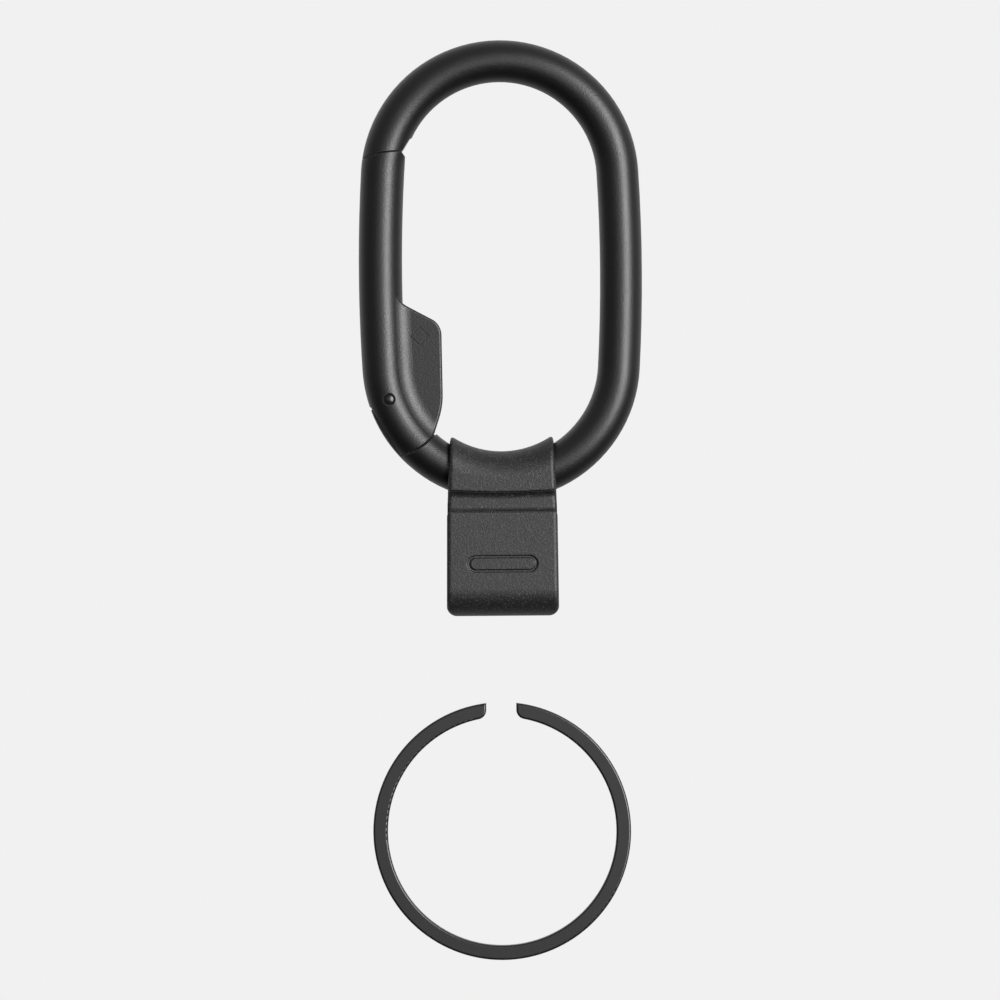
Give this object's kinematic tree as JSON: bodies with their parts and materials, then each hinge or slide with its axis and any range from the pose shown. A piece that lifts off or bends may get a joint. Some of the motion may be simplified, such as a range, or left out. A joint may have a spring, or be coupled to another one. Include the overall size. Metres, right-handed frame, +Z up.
{
  "type": "carabiner keyring",
  "caption": "Oval spring-gate carabiner with a thumb wing on its gate, a moulded strap loop on its bottom bend and a separate open key ring.",
  "frame": {"origin": "the hang point: the middle of the inside of the ring's top bend, in the middle of the bar's thickness", "axes": "+X to the right seen from the front (the gate is at -X), +Y to the back, +Z up, along the clip's length"},
  "size_m": [0.0368, 0.0074, 0.1196],
  "materials": {
    "black_coat": "matt black powder-like coat with a fine grain, on die-cast metal",
    "black_steel": "satin black plated steel",
    "steel": "plain ground steel",
    "strap_rubber": "matt moulded rubber with a faint sparkle"
  },
  "bodies": {
    "clip": {"clip_body": "black_coat"},
    "gate": {"gate": "black_coat", "hinge_pin": "black_steel", "gate_spring": "steel"},
    "plunger": {"spring_plunger": "steel"},
    "strap": {"strap_loop": "strap_rubber"},
    "ring": {"key_ring": "black_steel"}
  },
  "joints": [
    {"name": "gate_swing", "type": "hinge", "parent": "clip", "child": "gate", "pos_m": [-0.01456, 0, -0.04115], "axis": [0, 1, 0], "range_deg": [0, 40], "stiffness_Nm_per_rad": 0.02, "springref_deg": -28.65, "deforming": ["gate_spring"]},
    {"name": "plunger_slide", "type": "slide", "parent": "gate", "child": "plunger", "axis": [0, 0, 1], "range_m": [0, 0.0018]},
    {"name": "strap_slide", "type": "hinge", "parent": "clip", "child": "strap", "pos_m": [0, 0, -0.03634], "axis": [0, 1, 0], "range_deg": [-55, 8]},
    {"name": "ring_lift", "type": "slide", "parent": "strap", "child": "ring", "axis": [0, 0, 1], "range_m": [0, 0.011]}
  ],
  "couplings": [
    {"joint": "plunger_slide", "follows": "gate_swing", "m_per_rad": 0.00254}
  ]
}
